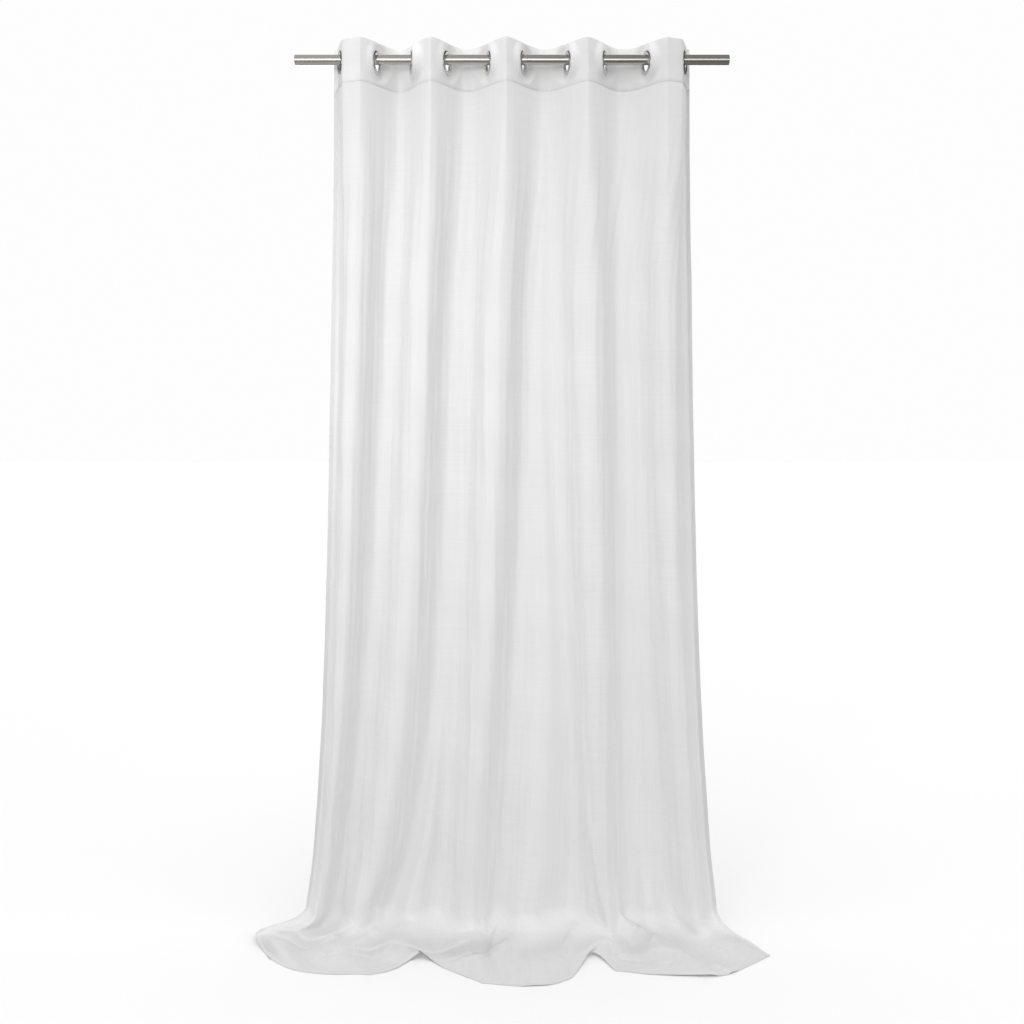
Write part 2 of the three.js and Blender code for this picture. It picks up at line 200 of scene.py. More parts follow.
floor_level = cad_box[0].z
floor_corners = [
    (x * FLOOR_HALF_WIDTH, y * FLOOR_HALF_WIDTH, floor_level - FLOOR_CLEARANCE)
    for x, y in ((-1, -1), (1, -1), (1, 1), (-1, 1))
]
floor_mesh = bpy.data.meshes.new("floor")
floor_mesh.from_pydata(floor_corners, [], [(0, 1, 2, 3)])
floor = bpy.data.objects.new("floor", floor_mesh)
floor.visible_glossy = False
floor.visible_diffuse = False
bpy.context.scene.collection.objects.link(floor)
floor_paint = bpy.data.materials.new("pale_floor")
floor_paint.use_nodes = True
floor_finish = floor_paint.node_tree.nodes["Principled BSDF"]
floor_finish.inputs["Base Color"].default_value = FLOOR_WHITE
floor_finish.inputs["Roughness"].default_value = 1.0
floor_finish.inputs["Emission Color"].default_value = FLOOR_WHITE
floor_finish.inputs["Emission Strength"].default_value = FLOOR_GLOW
floor_finish.inputs["Specular IOR Level"].default_value = 0.0
floor_mesh.materials.append(floor_paint)

# The rod. A plain round steel tube, 25 mm thick, cut square at both ends and brushed along its length.
# Two brackets on the wall hold it by its bare ends.

ROD_SIDES = 96
ROD_EDGE_BREAK = 0.0008
EDGE_STEPS = 4
STEEL = (0.60, 0.565, 0.53)
STEEL_ROUGHNESS = (0.17, 0.26)
BRUSH_LINES = (6, 2600, 2600)


def lathe_rings(profile, sides):
    """The rings of a form turned about the X axis, from its (along, radius) profile."""
    turn = np.arange(sides) * 2 * math.pi / sides
    rings = [
        np.stack([np.full(sides, along), radius * np.cos(turn), radius * np.sin(turn)], axis=1)
        for along, radius in profile
    ]
    return np.array(rings)


def add_piece(name, points, faces, material):
    """A new piece on the curtain's one body, with its finish."""
    mesh = bpy.data.meshes.new(name)
    mesh.from_pydata(np.asarray(points).reshape(-1, 3).tolist(), [], faces)
    mesh.materials.append(material)
    mesh.shade_smooth()
    piece = bpy.data.objects.new(name, mesh)
    bpy.context.scene.collection.objects.link(piece)
    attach(piece, "root")
    return piece


def new_material(name):
    material = bpy.data.materials.new(name)
    material.use_nodes = True
    return material


def add_node(material, kind, **settings):
    """A node of a material, with its options by name."""
    node = material.node_tree.nodes.new(kind)
    for option, value in settings.items():
        setattr(node, option, value)
    return node


def join(material, source, target):
    material.node_tree.links.new(source, target)


def brushed_metal(name, colour, roughness, lines, bump):
    """Satin metal with fine lines, whose closeness along X, Y and Z is the given scale in lines a metre."""
    metal = new_material(name)
    finish = metal.node_tree.nodes["Principled BSDF"]
    finish.inputs["Base Color"].default_value = (*colour, 1)
    finish.inputs["Metallic"].default_value = 1.0
    place = add_node(metal, "ShaderNodeTexCoord")
    stretch = add_node(metal, "ShaderNodeMapping")
    stretch.inputs["Scale"].default_value = lines
    join(metal, place.outputs["Object"], stretch.inputs["Vector"])
    grain = add_node(metal, "ShaderNodeTexNoise")
    grain.inputs["Scale"].default_value = 1.0
    grain.inputs["Detail"].default_value = 3.0
    join(metal, stretch.outputs[0], grain.inputs["Vector"])
    gloss = add_node(metal, "ShaderNodeMapRange")
    gloss.inputs["From Min"].default_value = 0.3
    gloss.inputs["From Max"].default_value = 0.7
    gloss.inputs["To Min"].default_value, gloss.inputs["To Max"].default_value = roughness
    join(metal, grain.outputs["Fac"], gloss.inputs["Value"])
    join(metal, gloss.outputs[0], finish.inputs["Roughness"])
    relief = add_node(metal, "ShaderNodeBump")
    relief.inputs["Strength"].default_value = bump
    relief.inputs["Distance"].default_value = 0.0001
    join(metal, grain.outputs["Fac"], relief.inputs["Height"])
    join(metal, relief.outputs[0], finish.inputs["Normal"])
    return metal


rod_low, rod_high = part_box("rod")
rod_radius = (rod_high.z - rod_low.z) / 2
quarter = np.linspace(0, math.pi / 2, EDGE_STEPS + 1)
end_curve = [
    (rod_high.x - ROD_EDGE_BREAK * (1 - math.sin(a)), rod_radius - ROD_EDGE_BREAK * (1 - math.cos(a)))
    for a in quarter
]
rod_profile = [(-x, r) for x, r in reversed(end_curve)] + end_curve
rod_rings = lathe_rings(rod_profile, ROD_SIDES)
ring_start = np.arange(len(rod_profile)) * ROD_SIDES
around = np.arange(ROD_SIDES)
rod_faces = [
    (a + i, a + (i + 1) % ROD_SIDES, b + (i + 1) % ROD_SIDES, b + i)
    for a, b in zip(ring_start, ring_start[1:])
    for i in range(ROD_SIDES)
]
rod_faces.append(tuple(around[::-1]))
rod_faces.append(tuple(ring_start[-1] + around))
brushed_steel = brushed_metal("brushed_steel_tube", STEEL, STEEL_ROUGHNESS, BRUSH_LINES, 0.25)
rod_tube = add_piece("rod_tube", rod_rings, rod_faces, brushed_steel)
for face in rod_tube.data.polygons[-2:]:
    face.use_smooth = False
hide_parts("rod")

# The heading. A strip of voile along the curtain's top, 105 mm high, doubled over a stiffening tape, which
# makes it whiter and less sheer. It stands in sharp creases at the front of each flute and turns softly at
# the back.

CUT_WIDTH = 1.45
BAND_TOP = 0.040
BAND_BOTTOM = -0.065
BAND_THICKNESS = 0.0005
RING_CENTRE_Z = -0.0070
HOLE_RADIUS = 0.0228
EYELET_PITCH = 0.151
FLAT_HALF = 0.031

# One row for each eyelet: its place along the rod, and the degrees its cloth turns away from square to it.
EYELETS = [
    {"x": -0.418, "lean": 17},
    {"x": -0.328, "lean": 13},
    {"x": -0.245, "lean": 10},
    {"x": -0.158, "lean": 16},
    {"x": -0.058, "lean": 14},
    {"x": 0.027, "lean": 14},
    {"x": 0.134, "lean": 15},
    {"x": 0.226, "lean": 17},
    {"x": 0.326, "lean": 16},
    {"x": 0.420, "lean": 16},
]

# The lines of the folds, from left to right: the side that each stands on, and its x at the five levels,
# from the rod down to the foot of the hanging cloth.
LEVELS = (0.0, -0.850, -1.525, -1.930, -2.065)
FOLDS = {
    "left edge": ("back", -0.439, -0.450, -0.466, -0.489, -0.506),
    "flute 1": ("front", -0.364, -0.387, -0.411, -0.446, -0.470),
    "valley 1": ("back", -0.279, -0.314, -0.361, -0.412, -0.436),
    "flute 2": ("front", -0.195, -0.224, -0.263, -0.320, -0.368),
    "valley 2 left": ("back", -0.118, -0.153, -0.186, -0.246, -0.296),
    "small fold 2": ("small", -0.110, -0.141, -0.168, -0.215, -0.243),
    "valley 2 right": ("back", -0.102, -0.129, -0.150, -0.178, -0.190),
    "flute 3": ("front", -0.014, -0.041, -0.065, -0.095, -0.100),
    "valley 3 left": ("back", 0.072, 0.046, 0.007, -0.018, -0.032),
    "small fold 3": ("small", 0.080, 0.072, 0.076, 0.052, 0.030),
    "valley 3 right": ("back", 0.088, 0.098, 0.136, 0.140, 0.130),
    "flute 4": ("front", 0.181, 0.186, 0.198, 0.212, 0.234),
    "valley 4 left": ("back", 0.266, 0.279, 0.291, 0.298, 0.296),
    "small fold 4": ("small", 0.275, 0.291, 0.309, 0.328, 0.336),
    "valley 4 right": ("back", 0.284, 0.303, 0.327, 0.356, 0.380),
    "flute 5": ("front", 0.373, 0.372, 0.396, 0.430, 0.446),
    "right edge": ("back", 0.438, 0.448, 0.465, 0.489, 0.503),
}
FOLD_NAMES = list(FOLDS)
SIDES = [FOLDS[name][0] for name in FOLD_NAMES]
ROD_X = [FOLDS[name][1] for name in FOLD_NAMES]

CREASE_ANGLE = math.radians(38)
FRONT_HANDLE = 0.009
BACK_HANDLE = 0.014
FLAT_HANDLE = 0.009
EDGE_BACK = 0.043
SHALLOW = 0.043
DEEP = 0.055
WALL_PARTS = (3 / 7, 5 / 7)
WAVE_CREASE_ANGLE = math.radians(26)
WAVE_FRONT_HANDLE = 0.028
WAVE_BACK_HANDLE = 0.021
FREEING_REACH = 0.024
SOLVE_STEPS = 30
BAY_SAMPLES = 60
CURVE_SAMPLES = 200
HEADING_STEPS = {"bend": 18, "flat": 20, "turn": 14, "valley": 3}
ROWS_ABOVE, ROWS_BESIDE, ROWS_BELOW = 6, 20, 10
HOLE_BLOCK = FLAT_HALF / 2
RIM_ROUNDING = 0.00015
RIM_STEPS = 2
RIM_ANGLE = math.radians(60)
NUDGE = 1e-6
HEADING_WHITE = (0.93, 0.93, 0.93)
HEADING_OPEN = 0.12
HEADING_SLUBS = 0.03


def mix(a, b, t):
    return a + (b - a) * t


def smooth(t):
    t = np.clip(t, 0, 1)
    return t * t * (3 - 2 * t)


def bezier(a, b, c, d, t):
    t = np.asarray(t)[:, None]
    a, b, c, d = (np.asarray(p, float) for p in (a, b, c, d))
    return (1 - t) ** 3 * a + 3 * (1 - t) ** 2 * t * b + 3 * (1 - t) * t * t * c + t**3 * d


def length_of(points):
    return np.linalg.norm(np.diff(points, axis=0), axis=1).sum()


def solve(low, high, target, size):
    """The value between low and high for which a growing size reaches its target."""
    for _ in range(SOLVE_STEPS):
        middle = (low + high) / 2
        if size(middle) < target:
            low = middle
        else:
            high = middle
    return (low + high) / 2


# The stretches between neighbouring lines. Those that run from front to back are walls, with one eyelet each.
SPANS = []
for line in range(len(FOLD_NAMES) - 1):
    is_wall = (SIDES[line] == "front") != (SIDES[line + 1] == "front")
    eyelet = sum(span["wall"] for span in SPANS) if is_wall else None
    SPANS.append({"left": line, "right": line + 1, "wall": is_wall, "eyelet": eyelet})
WALLS = [span for span in SPANS if span["wall"]]


def ring_line(span):
    """A wall's eyelet: its middle, the side its cloth runs back to (1 is right), and the unit step there."""
    row = EYELETS[span["eyelet"]]
    towards = 1 if SIDES[span["left"]] == "front" else -1
    lean = math.radians(row["lean"])
    return np.array([row["x"], 0.0]), towards, np.array([towards * math.sin(lean), math.cos(lean)])


def wall_ends(span, front_y, back_y):
    """Where a wall meets its front line and its back line, seen from above."""
    lines = (span["left"], span["right"])
    front_line, back_line = lines if SIDES[span["left"]] == "front" else lines[::-1]
    return np.array([ROD_X[front_line], front_y]), np.array([ROD_X[back_line], back_y])


def heading_wall(span, front_y, back_y, t):
    """One wall of the heading seen from above: a bend from its sharp front line, a flat part and a turn."""
    middle, towards, back = ring_line(span)
    front, rear = wall_ends(span, front_y, back_y)
    flat_front = middle - back * FLAT_HALF
    flat_back = middle + back * FLAT_HALF
    crease = np.array([towards * math.cos(CREASE_ANGLE), math.sin(CREASE_ANGLE)])
    rear_handle = rear - np.array([towards * BACK_HANDLE, 0])
    bend_end, flat_end = WALL_PARTS
    bend = bezier(
        front, front + crease * FRONT_HANDLE, flat_front - back * FLAT_HANDLE, flat_front, t / bend_end
    )
    flat = mix(flat_front, flat_back, ((t - bend_end) / (flat_end - bend_end))[:, None])
    turn = bezier(
        flat_back, flat_back + back * FLAT_HANDLE, rear_handle, rear, (t - flat_end) / (1 - flat_end)
    )
    where = t[:, None]
    return np.where(where < bend_end, bend, np.where(where < flat_end, flat, turn))


def lengths_along(points):
    """How far along a curve each of its points is, as a share of its whole length."""
    steps = np.linalg.norm(np.diff(points, axis=0), axis=1)
    return np.append(0, steps.cumsum()) / steps.sum()


def wave_wall(span, front_y, back_y, t):
    """The same wall away from its eyelet, where it runs free on one curve. End walls keep their form."""
    if span["eyelet"] in (0, len(EYELETS) - 1):
        return heading_wall(span, front_y, back_y, t)
    _, towards, _ = ring_line(span)
    front, rear = wall_ends(span, front_y, back_y)
    crease = np.array([towards * math.cos(WAVE_CREASE_ANGLE), math.sin(WAVE_CREASE_ANGLE)])
    rear_handle = rear - np.array([towards * WAVE_BACK_HANDLE, 0])
    fine_t = np.linspace(0, 1, CURVE_SAMPLES)
    curve = bezier(front, front + crease * WAVE_FRONT_HANDLE, rear_handle, rear, fine_t)
    share = np.interp(t, fine_t, lengths_along(heading_wall(span, front_y, back_y, fine_t)))
    return np.stack([np.interp(share, lengths_along(curve), curve[:, k]) for k in (0, 1)], axis=1)


def bay_depth(first, second):
    """The depth at which the cloth between two neighbouring eyelets has the length that it was cut to."""
    front = SIDES[first["right"]] == "front"
    halfway = sum(WALL_PARTS) / 2
    t = np.linspace(0, halfway, BAY_SAMPLES) if front else np.linspace(halfway, 1, BAY_SAMPLES)
    level = 0 if front else ROD_X[second["left"]] - ROD_X[first["right"]]

    def bay(depth):
        return level + sum(length_of(heading_wall(wall, -depth, depth, t)) for wall in (first, second))

    return solve(SHALLOW, DEEP, EYELET_PITCH, bay)


heading_y = [EDGE_BACK] * len(FOLD_NAMES)
for first, second in zip(WALLS, WALLS[1:]):
    bay = bay_depth(first, second)
    for line in range(first["right"], second["left"] + 1):
        heading_y[line] = -bay if SIDES[line] == "front" else bay


def columns_in(span, steps):
    """How far along a span each of its columns stands, from the steps in each part of a wall or valley."""
    if not span["wall"]:
        return np.arange(1, steps["valley"] + 1) / steps["valley"]
    ends = (0, *WALL_PARTS, 1)
    parts = [
        mix(ends[i], ends[i + 1], np.arange(1, steps[part] + 1) / steps[part])
        for i, part in enumerate(("bend", "flat", "turn"))
    ]
    from_front = np.concatenate(parts)
    if SIDES[span["left"]] == "front":
        return from_front
    return np.append(1 - from_front[-2::-1], 1)


def heading_section(wall_shape, steps):
    """The heading seen from above, as one line of points from the left edge to the right."""
    points = [np.array([[ROD_X[0], heading_y[0]]])]
    for span in SPANS:
        t = columns_in(span, steps)
        left, right = span["left"], span["right"]
        if not span["wall"]:
            start = np.array([ROD_X[left], heading_y[left]])
            end = np.array([ROD_X[right], heading_y[right]])
            points.append(mix(start, end, t[:, None]))
        elif SIDES[left] == "front":
            points.append(wall_shape(span, heading_y[left], heading_y[right], t))
        else:
            points.append(wall_shape(span, heading_y[right], heading_y[left], 1 - t))
    return np.concatenate(points)


def thread_lengths(grid):
    """How far each point of a sheet lies along its weft and its warp, in metres."""
    across = np.linalg.norm(np.diff(grid, axis=1), axis=2).cumsum(axis=1)
    across = np.hstack([np.zeros((len(grid), 1)), across])
    down = np.linalg.norm(np.diff(grid, axis=0), axis=2).mean(axis=1).cumsum()
    down = np.concatenate([[0], down])
    return np.stack([across, np.broadcast_to(-down[:, None], across.shape)], axis=-1)


def add_cloth(name, grid, material, open_cells=None):
    """A sheet of cloth on a grid of points, with the lengths of its threads as its UV map."""
    rows, columns = grid.shape[:2]
    corner = np.arange(rows * columns).reshape(rows, columns)
    cells = np.stack([corner[:-1, :-1], corner[1:, :-1], corner[1:, 1:], corner[:-1, 1:]], axis=-1)
    if open_cells is not None:
        cells = cells[~open_cells]
    piece = add_piece(name, grid, cells.reshape(-1, 4).tolist(), material)
    mesh = piece.data
    corners = np.empty(len(mesh.loops), int)
    mesh.loops.foreach_get("vertex_index", corners)
    threads = mesh.uv_layers.new(name="threads")
    threads.data.foreach_set("uv", thread_lengths(grid).reshape(-1, 2)[corners].ravel())
    return piece


def thread_noise(cloth, lengths, along, seed):
    """Thick and thin places in the threads, from how many there are a metre along the weft and the warp."""
    stretch = add_node(cloth, "ShaderNodeMapping")
    stretch.inputs["Location"].default_value = (seed, seed, 0)
    stretch.inputs["Scale"].default_value = (*along, 1)
    join(cloth, lengths, stretch.inputs["Vector"])
    noise = add_node(cloth, "ShaderNodeTexNoise", noise_dimensions="2D")
    noise.inputs["Scale"].default_value = 1.0
    noise.inputs["Detail"].default_value = 2.0
    join(cloth, stretch.outputs[0], noise.inputs["Vector"])
    return noise.outputs["Fac"]


def blend_values(cloth, operation, a, b):
    node = add_node(cloth, "ShaderNodeMath", operation=operation)
    for value, socket in zip((a, b), node.inputs):
        if isinstance(value, (int, float)):
            socket.default_value = value
        else:
            join(cloth, value, socket)
    return node.outputs[0]


WARP_SLUBS = (460, 2.5)
WEFT_SLUBS = (4, 420)
CLOUDING = (60, 1.2)
WEAVE_PITCH = 0.0008
WAVE_STEP = 20
SHEEN = 0.25
SHEEN_ROUGHNESS = 0.4
THROUGH_SHARE = 0.15


def woven_voile(name, white, openness, slub_contrast):
    """Plain-weave voile: matt threads, light through them, and gaps between them that one sees through."""
    cloth = new_material(name)
    threads = cloth.node_tree.nodes["Principled BSDF"]
    lengths = add_node(cloth, "ShaderNodeUVMap", uv_map="threads").outputs[0]
    warp = thread_noise(cloth, lengths, WARP_SLUBS, 0)
    weft = thread_noise(cloth, lengths, WEFT_SLUBS, 7.3)
    cloud = thread_noise(cloth, lengths, CLOUDING, 3.1)
    slubs = blend_values(cloth, "ADD", warp, blend_values(cloth, "ADD", weft, cloud))
    centred = blend_values(cloth, "SUBTRACT", slubs, 1.5)

    weave = []
    for side in ("X", "Y"):
        wave = add_node(cloth, "ShaderNodeTexWave", bands_direction=side)
        wave.inputs["Scale"].default_value = 2 * math.pi / (WAVE_STEP * WEAVE_PITCH)
        join(cloth, lengths, wave.inputs["Vector"])
        weave.append(wave.outputs["Fac"])
    gaps = blend_values(cloth, "MULTIPLY", *weave)

    closeness = blend_values(cloth, "MULTIPLY", centred, -slub_contrast)
    sheer = blend_values(cloth, "ADD", closeness, openness)
    sheer = blend_values(cloth, "ADD", sheer, blend_values(cloth, "MULTIPLY", gaps, openness / 4))
    sheer = blend_values(cloth, "MAXIMUM", sheer, 0.0)

    threads.inputs["Base Color"].default_value = (*white, 1)
    threads.inputs["Roughness"].default_value = 0.85
    threads.inputs["Specular IOR Level"].default_value = 0.15
    threads.inputs["Sheen Weight"].default_value = SHEEN
    threads.inputs["Sheen Roughness"].default_value = SHEEN_ROUGHNESS
    relief = add_node(cloth, "ShaderNodeBump")
    relief.inputs["Strength"].default_value = 0.3
    relief.inputs["Distance"].default_value = 0.00005
    join(cloth, blend_values(cloth, "SUBTRACT", slubs, gaps), relief.inputs["Height"])
    join(cloth, relief.outputs[0], threads.inputs["Normal"])

    glow = add_node(cloth, "ShaderNodeBsdfTranslucent")
    glow.inputs["Color"].default_value = (*white, 1)
    lit = add_node(cloth, "ShaderNodeMixShader")
    lit.inputs["Fac"].default_value = THROUGH_SHARE
    join(cloth, threads.outputs[0], lit.inputs[1])
    join(cloth, glow.outputs[0], lit.inputs[2])
    open_share = add_node(cloth, "ShaderNodeMixShader")
    join(cloth, sheer, open_share.inputs["Fac"])
    join(cloth, lit.outputs[0], open_share.inputs[1])
    join(cloth, add_node(cloth, "ShaderNodeBsdfTransparent").outputs[0], open_share.inputs[2])
    join(cloth, open_share.outputs[0], cloth.node_tree.nodes["Material Output"].inputs["Surface"])
    return cloth


def finish_shape(piece):
    """Makes a piece's modifiers part of its mesh."""
    shaped = bpy.data.meshes.new_from_object(piece.evaluated_get(bpy.context.evaluated_depsgraph_get()))
    piece.modifiers.clear()
    piece.data = shaped


ring_section = heading_section(heading_wall, HEADING_STEPS)
free_section = heading_section(wave_wall, HEADING_STEPS)
ring_top, ring_bottom = RING_CENTRE_Z + FLAT_HALF, RING_CENTRE_Z - FLAT_HALF
band_z = np.concatenate([
    np.linspace(BAND_TOP, ring_top, ROWS_ABOVE + 1)[:-1],
    np.linspace(ring_top, ring_bottom, ROWS_BESIDE + 1),
    np.linspace(ring_bottom, BAND_BOTTOM, ROWS_BELOW + 1)[1:],
])
band = np.empty((len(band_z), len(ring_section), 3))
from_ring = np.full(band.shape[:2], np.inf)
for wall in WALLS:
    middle, _, _ = ring_line(wall)
    sideways = np.linalg.norm(ring_section - middle, axis=1)
    from_ring = np.minimum(from_ring, np.hypot(sideways, (band_z - RING_CENTRE_Z)[:, None]))
freedom = smooth((from_ring - FLAT_HALF) / FREEING_REACH)[:, :, None]
band[:, :, :2] = mix(ring_section, free_section, freedom)
band[:, :, 2] = band_z[:, None]
sewn_band = band.copy()
in_hole = np.zeros(band.shape[:2], bool)
for wall in WALLS:
    middle, _, back = ring_line(wall)
    offset = ring_section - middle
    along = offset @ back
    beside = np.linalg.norm(offset - along[:, None] * back, axis=1) < NUDGE
    beside &= abs(along) < FLAT_HALF + NUDGE
    a, b = np.meshgrid(along[beside], band_z - RING_CENTRE_Z)
    square = np.maximum(np.maximum(abs(a), abs(b)), NUDGE)
    inside = square < HOLE_BLOCK - NUDGE
    out_share = (square - HOLE_BLOCK) / (FLAT_HALF - HOLE_BLOCK)
    scale = mix(HOLE_RADIUS / np.maximum(np.hypot(a, b), NUDGE), FLAT_HALF / square, out_share)
    scale = np.where(inside | (square > FLAT_HALF), 1, scale)
    band[:, beside, :2] += ((scale - 1) * a)[:, :, None] * back
    band[:, beside, 2] += (scale - 1) * b
    in_hole[:, beside] |= inside
open_cells = in_hole[:-1, :-1] | in_hole[1:, :-1] | in_hole[1:, 1:] | in_hole[:-1, 1:]

stiffened_voile = woven_voile("stiffened_voile", HEADING_WHITE, HEADING_OPEN, HEADING_SLUBS)
heading = add_cloth("heading_strip", band, stiffened_voile, open_cells)
thickness = heading.modifiers.new("doubled cloth", "SOLIDIFY")
thickness.thickness = BAND_THICKNESS
thickness.offset = 0
rims = heading.modifiers.new("soft rims", "BEVEL")
rims.width = RIM_ROUNDING
rims.segments = RIM_STEPS
rims.angle_limit = RIM_ANGLE
finish_shape(heading)
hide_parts("heading_band")

# The eyelets. Ten round satin-silver rings that line the heading's holes, 60 mm across with a 40 mm hole.
# Each is a domed front ring, whose tube passes through the cloth and is rolled over a domed ring on the back.

RING_HOLE = 0.020
RING_RIM = 0.030
DOME_HEIGHT = 0.0026
TUBE_WALL = 0.0012
LIP_REACH = 0.0026
LIP_HEIGHT = 0.0008
CLOTH_FACE = 0.0003
RING_SIDES = 72
DOME_STEPS = 10
SILVER = (0.70, 0.70, 0.69)
SILVER_ROUGHNESS = (0.16, 0.24)
SILVER_GRAIN = (900, 900, 900)


def dome(inner, outer, base, height, steps=DOME_STEPS):
    """Half an oval, from the outer rim over the top to the inner one, as (along, radius) points."""
    middle, half = (inner + outer) / 2, (outer - inner) / 2
    return [
        (base + height * math.sin(a), middle + half * math.cos(a))
        for a in np.linspace(0, math.pi, steps + 1)
    ]


lip_inner, lip_outer = RING_HOLE, RING_HOLE + LIP_REACH
front_ring = dome(RING_HOLE, RING_RIM, CLOTH_FACE, DOME_HEIGHT)
front_ring += [(-x, r) for x, r in dome(lip_inner, lip_outer, CLOTH_FACE, DOME_HEIGHT + LIP_HEIGHT)[::-1]]
front_ring += [(-CLOTH_FACE, RING_HOLE + TUBE_WALL), (CLOTH_FACE, RING_HOLE + TUBE_WALL)]
back_ring = [(-x, r) for x, r in dome(lip_inner + TUBE_WALL, RING_RIM, CLOTH_FACE, DOME_HEIGHT)[::-1]]


def closed_ring(profile, first):
    """The points and faces of a ring turned about the X axis from a closed profile."""
    rings = lathe_rings(profile, RING_SIDES).reshape(-1, 3)
    count = len(profile)
    faces = [
        tuple(
            first + (k + dk) % count * RING_SIDES + (i + di) % RING_SIDES
            for dk, di in ((0, 0), (0, 1), (1, 1), (1, 0))
        )
        for k in range(count)
        for i in range(RING_SIDES)
    ]
    return rings, faces


front_points, front_faces = closed_ring(front_ring, 0)
back_points, back_faces = closed_ring(back_ring, len(front_points))
one_eyelet = bpy.data.meshes.new("one_eyelet")
one_eyelet.from_pydata(np.vstack([front_points, back_points]).tolist(), [], front_faces + back_faces)
one_eyelet.shade_smooth()
pattern = bpy.data.objects.new("one_eyelet", one_eyelet)


def new_tree(name, **inputs):
    """A tree of geometry nodes with a geometry input and output, and named inputs given by socket type."""
    tree = bpy.data.node_groups.new(name, "GeometryNodeTree")
    tree.interface.new_socket("Geometry", in_out="INPUT", socket_type="NodeSocketGeometry")
    tree.interface.new_socket("Geometry", in_out="OUTPUT", socket_type="NodeSocketGeometry")
    for label, kind in inputs.items():
        tree.interface.new_socket(label.replace("_", " "), in_out="INPUT", socket_type=kind)
    return tree


def tree_node(tree, kind, **sockets):
    """A node of a tree, with each named socket linked to an output or set to a value."""
    node = tree.nodes.new(kind)
    for label, value in sockets.items():
        socket = node.inputs[label.replace("_", " ")]
        if isinstance(value, bpy.types.NodeSocket):
            tree.links.new(value, socket)
        else:
            socket.default_value = value
    return node


def grow(piece, tree, **values):
    """Runs a tree on a piece with the given inputs, and keeps the result as its mesh."""
    growth = piece.modifiers.new(tree.name, "NODES")
    growth.node_group = tree
    for socket in tree.interface.items_tree:
        if socket.in_out == "INPUT" and socket.name in values:
            growth[socket.identifier] = values[socket.name]
    finish_shape(piece)


ring_tree = new_tree("rings on the heading", Ring="NodeSocketObject", Metal="NodeSocketMaterial")
given = ring_tree.nodes.new("NodeGroupInput")
ring_form = tree_node(ring_tree, "GeometryNodeObjectInfo", Object=given.outputs["Ring"])
turned = ring_tree.nodes.new("GeometryNodeInputNamedAttribute")
turned.data_type = "FLOAT_VECTOR"
turned.inputs["Name"].default_value = "turn"
placed = tree_node(
    ring_tree,
    "GeometryNodeInstanceOnPoints",
    Points=given.outputs["Geometry"],
    Instance=ring_form.outputs["Geometry"],
    Rotation=turned.outputs[0],
)
real = tree_node(ring_tree, "GeometryNodeRealizeInstances", Geometry=placed.outputs[0])
plated = tree_node(
    ring_tree, "GeometryNodeSetMaterial", Geometry=real.outputs[0], Material=given.outputs["Metal"]
)
ring_tree.links.new(plated.outputs[0], ring_tree.nodes.new("NodeGroupOutput").inputs[0])

satin_silver = brushed_metal("satin_silver", SILVER, SILVER_ROUGHNESS, SILVER_GRAIN, 0.15)
ring_centres = [(*ring_line(wall)[0], RING_CENTRE_Z) for wall in WALLS]
eyelet_rings = add_piece("eyelet_rings", ring_centres, [], satin_silver)
ring_turns = []
for wall in WALLS:
    _, towards, back = ring_line(wall)
    about_face = 0 if towards == 1 else math.pi
    ring_turns += [0, 0, math.atan2(-back[0], back[1]) + about_face]
turn = eyelet_rings.data.attributes.new("turn", "FLOAT_VECTOR", "POINT")
turn.data.foreach_set("vector", ring_turns)
grow(eyelet_rings, ring_tree, Ring=pattern, Metal=satin_silver)
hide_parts(*[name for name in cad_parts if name.startswith("eyelet_")])

# The voile panel. One sheet of sheer voile, sewn into the heading's lower edge. It hangs to the floor in five
# uneven flutes, and its last stretch lies forward there in low ridges. Its sides and its end are turned under
# and hemmed.

SEAM_ALLOWANCE = 0.006

# How far back the crests of the small folds stand at the five levels: 1 is at the back, and -1 at the front.
SMALL_FOLD_DEPTH = {
    "small fold 2": (1, 1, 0.95, 0.4, -0.1),
    "small fold 3": (1, 0.85, 0.35, -0.35, -0.55),
    "small fold 4": (1, 1, 0.95, 0.8, 0.2),
}

# Where the lines lie on the floor: x, y and height halfway along, then the same at the hem.
LYING = {
    "left edge": (-0.617, -0.010, 0.010, -0.566, -0.124, 0),
    "flute 1": (-0.560, -0.078, 0.028, -0.504, -0.177, 0),
    "valley 1": (-0.484, -0.092, 0.005, -0.436, -0.199, 0),
    "flute 2": (-0.425, -0.100, 0.024, -0.372, -0.202, 0),
    "valley 2 left": (-0.330, -0.098, 0.006, -0.284, -0.190, 0),
    "small fold 2": (-0.262, -0.092, 0.022, -0.214, -0.118, 0.007),
    "valley 2 right": (-0.190, -0.098, 0.008, -0.160, -0.168, 0),
    "flute 3": (-0.108, -0.094, 0.026, -0.070, -0.236, 0),
    "valley 3 left": (-0.038, -0.112, 0.004, -0.006, -0.254, 0),
    "small fold 3": (0.022, -0.112, 0.018, 0.050, -0.256, 0.003),
    "valley 3 right": (0.120, -0.112, 0.004, 0.130, -0.224, 0),
    "flute 4": (0.222, -0.086, 0.028, 0.187, -0.111, 0.008),
    "valley 4 left": (0.284, -0.098, 0.004, 0.246, -0.184, 0),
    "small fold 4": (0.356, -0.080, 0.022, 0.430, -0.213, 0.004),
    "valley 4 right": (0.424, -0.064, 0.004, 0.486, -0.204, 0),
    "flute 5": (0.494, -0.062, 0.016, 0.548, -0.158, 0),
    "right edge": (0.560, -0.030, 0.004, 0.603, -0.110, 0),
}

